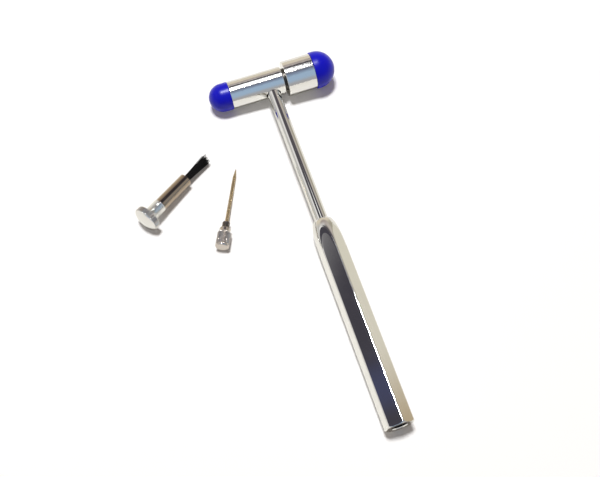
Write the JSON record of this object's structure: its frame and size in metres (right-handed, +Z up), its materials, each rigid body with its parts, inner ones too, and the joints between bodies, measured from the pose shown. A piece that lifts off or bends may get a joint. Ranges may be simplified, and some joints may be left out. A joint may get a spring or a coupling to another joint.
{
  "type": "reflex hammer",
  "caption": "Two-headed percussion hammer with rubber bumpers, a slim shaft and a six-sided handle, with its screw-in brush and needle laid beside it.",
  "frame": {"origin": "middle of the whole layout's box, on the surface that the hammer, the brush and the needle lie on", "axes": "+X along the head towards the large bumper (the head tips up that way), -Y down the handle to its open end, +Z up from the surface"},
  "size_m": [0.1082, 0.179, 0.0179],
  "materials": {
    "chrome_plate": "polished chrome plate",
    "blue_rubber": "smooth satin moulded rubber",
    "ferrule_nickel": "bright drawn nickel-plated tube",
    "needle_steel": "ground steel",
    "bristle_nylon": "black nylon bristle",
    "setting_resin": "cast resin"
  },
  "bodies": {
    "hammer": {"head_barrel": "chrome_plate", "head_collar": "chrome_plate", "shaft_rod": "chrome_plate", "handle_grip": "chrome_plate"},
    "large_bumper": {"bumper_large": "blue_rubber"},
    "small_bumper": {"bumper_small": "blue_rubber"},
    "brush": {"brush_cap": "chrome_plate", "brush_ferrule": "ferrule_nickel", "brush_resin": "setting_resin", "brush_bristles": "bristle_nylon"},
    "needle": {"needle_knob": "chrome_plate", "needle_pin": "needle_steel"}
  },
  "joints": [
    {"name": "large_bumper_pull", "type": "slide", "parent": "hammer", "child": "large_bumper", "axis": [0.9984, -0.0005, 0.0561], "range_m": [0, 0.01]},
    {"name": "small_bumper_pull", "type": "slide", "parent": "hammer", "child": "small_bumper", "axis": [-0.9984, 0.0005, -0.0561], "range_m": [0, 0.01]},
    {"name": "brush_lift", "type": "slide", "parent": "hammer", "child": "brush", "axis": [0, 0, 1], "range_m": [0, 0.03]},
    {"name": "needle_lift", "type": "slide", "parent": "hammer", "child": "needle", "axis": [0, 0, 1], "range_m": [0, 0.03]}
  ]
}
